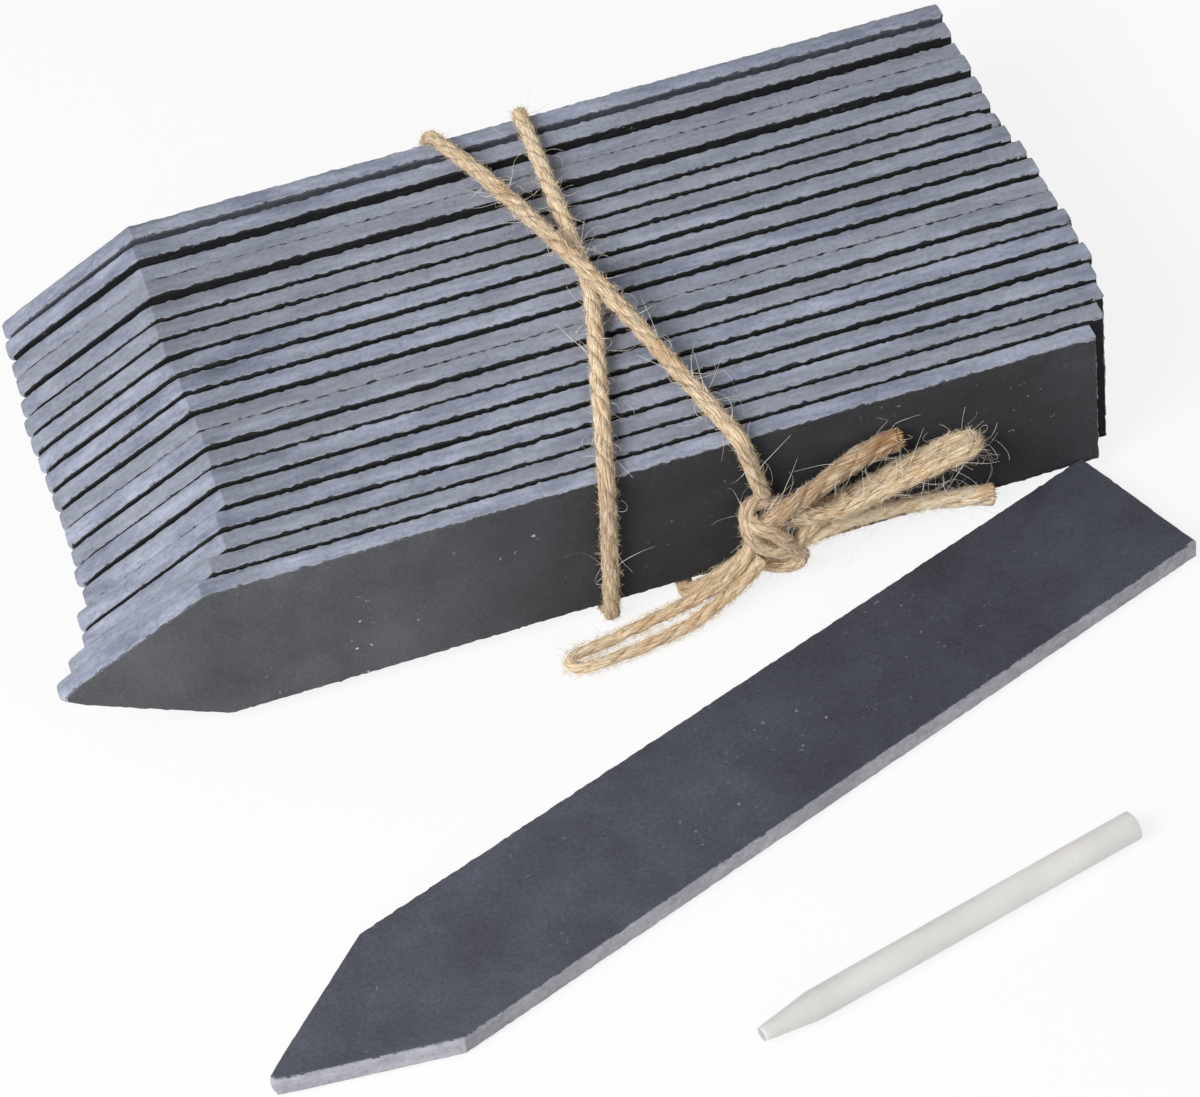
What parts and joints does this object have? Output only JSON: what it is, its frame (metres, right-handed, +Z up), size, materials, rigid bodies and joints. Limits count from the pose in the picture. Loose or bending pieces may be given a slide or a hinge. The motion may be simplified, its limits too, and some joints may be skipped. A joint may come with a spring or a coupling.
{
  "type": "plant label stake bundle",
  "caption": "Pointed riven slate plant label stakes, tied on edge in a jute twine bundle with a bow, with a loose stake lying flat beside a blunt slate pencil.",
  "frame": {"origin": "on the surface the set stands on, under the middle of everything but the free twine of the bow", "axes": "+X along the bundled stakes from their points to their square ends, +Y back through the bundle, +Z up"},
  "size_m": [0.2098, 0.219, 0.0421],
  "materials": {
    "slate": "riven, matt, with sawn edges",
    "pencil_stone": "fine ground, matt",
    "jute_twine": "three-ply laid twine, hairy"
  },
  "bodies": {
    "tie": {"twine_winding": "jute_twine", "twine_knot": "jute_twine", "bow_loop_left": "jute_twine", "bow_loop_right": "jute_twine", "twine_end_upper": "jute_twine", "twine_end_lower": "jute_twine"},
    "stake_01": {"stake_01": "slate"},
    "stake_02": {"stake_02": "slate"},
    "stake_03": {"stake_03": "slate"},
    "stake_04": {"stake_04": "slate"},
    "stake_05": {"stake_05": "slate"},
    "stake_06": {"stake_06": "slate"},
    "stake_07": {"stake_07": "slate"},
    "stake_08": {"stake_08": "slate"},
    "stake_09": {"stake_09": "slate"},
    "stake_10": {"stake_10": "slate"},
    "stake_11": {"stake_11": "slate"},
    "stake_12": {"stake_12": "slate"},
    "stake_13": {"stake_13": "slate"},
    "stake_14": {"stake_14": "slate"},
    "stake_15": {"stake_15": "slate"},
    "stake_16": {"stake_16": "slate"},
    "stake_17": {"stake_17": "slate"},
    "stake_18": {"stake_18": "slate"},
    "stake_19": {"stake_19": "slate"},
    "loose_stake": {"loose_stake": "slate"},
    "slate_pencil": {"slate_pencil": "pencil_stone"}
  },
  "joints": [
    {"name": "stake_01_draw", "type": "slide", "parent": "tie", "child": "stake_01", "axis": [1, 0, 0], "range_m": [-0.05, 0.05]},
    {"name": "stake_02_draw", "type": "slide", "parent": "tie", "child": "stake_02", "axis": [1, 0, 0], "range_m": [-0.05, 0.05]},
    {"name": "stake_03_draw", "type": "slide", "parent": "tie", "child": "stake_03", "axis": [1, 0, 0], "range_m": [-0.05, 0.05]},
    {"name": "stake_04_draw", "type": "slide", "parent": "tie", "child": "stake_04", "axis": [1, 0, 0], "range_m": [-0.05, 0.05]},
    {"name": "stake_05_draw", "type": "slide", "parent": "tie", "child": "stake_05", "axis": [1, 0, 0], "range_m": [-0.05, 0.05]},
    {"name": "stake_06_draw", "type": "slide", "parent": "tie", "child": "stake_06", "axis": [1, 0, 0], "range_m": [-0.05, 0.05]},
    {"name": "stake_07_draw", "type": "slide", "parent": "tie", "child": "stake_07", "axis": [1, 0, 0], "range_m": [-0.05, 0.05]},
    {"name": "stake_08_draw", "type": "slide", "parent": "tie", "child": "stake_08", "axis": [1, 0, 0], "range_m": [-0.05, 0.05]},
    {"name": "stake_09_draw", "type": "slide", "parent": "tie", "child": "stake_09", "axis": [1, 0, 0], "range_m": [-0.05, 0.05]},
    {"name": "stake_10_draw", "type": "slide", "parent": "tie", "child": "stake_10", "axis": [1, 0, 0], "range_m": [-0.05, 0.05]},
    {"name": "stake_11_draw", "type": "slide", "parent": "tie", "child": "stake_11", "axis": [1, 0, 0], "range_m": [-0.05, 0.05]},
    {"name": "stake_12_draw", "type": "slide", "parent": "tie", "child": "stake_12", "axis": [1, 0, 0], "range_m": [-0.05, 0.05]},
    {"name": "stake_13_draw", "type": "slide", "parent": "tie", "child": "stake_13", "axis": [1, 0, 0], "range_m": [-0.05, 0.05]},
    {"name": "stake_14_draw", "type": "slide", "parent": "tie", "child": "stake_14", "axis": [1, 0, 0], "range_m": [-0.05, 0.05]},
    {"name": "stake_15_draw", "type": "slide", "parent": "tie", "child": "stake_15", "axis": [1, 0, 0], "range_m": [-0.05, 0.05]},
    {"name": "stake_16_draw", "type": "slide", "parent": "tie", "child": "stake_16", "axis": [1, 0, 0], "range_m": [-0.05, 0.05]},
    {"name": "stake_17_draw", "type": "slide", "parent": "tie", "child": "stake_17", "axis": [1, 0, 0], "range_m": [-0.05, 0.05]},
    {"name": "stake_18_draw", "type": "slide", "parent": "tie", "child": "stake_18", "axis": [1, 0, 0], "range_m": [-0.05, 0.05]},
    {"name": "stake_19_draw", "type": "slide", "parent": "tie", "child": "stake_19", "axis": [1, 0, 0], "range_m": [-0.05, 0.05]},
    {"name": "loose_stake_lift", "type": "slide", "parent": "tie", "child": "loose_stake", "axis": [0, 0, 1], "range_m": [0, 0.1]},
    {"name": "slate_pencil_lift", "type": "slide", "parent": "tie", "child": "slate_pencil", "axis": [0, 0, 1], "range_m": [0, 0.1]}
  ]
}
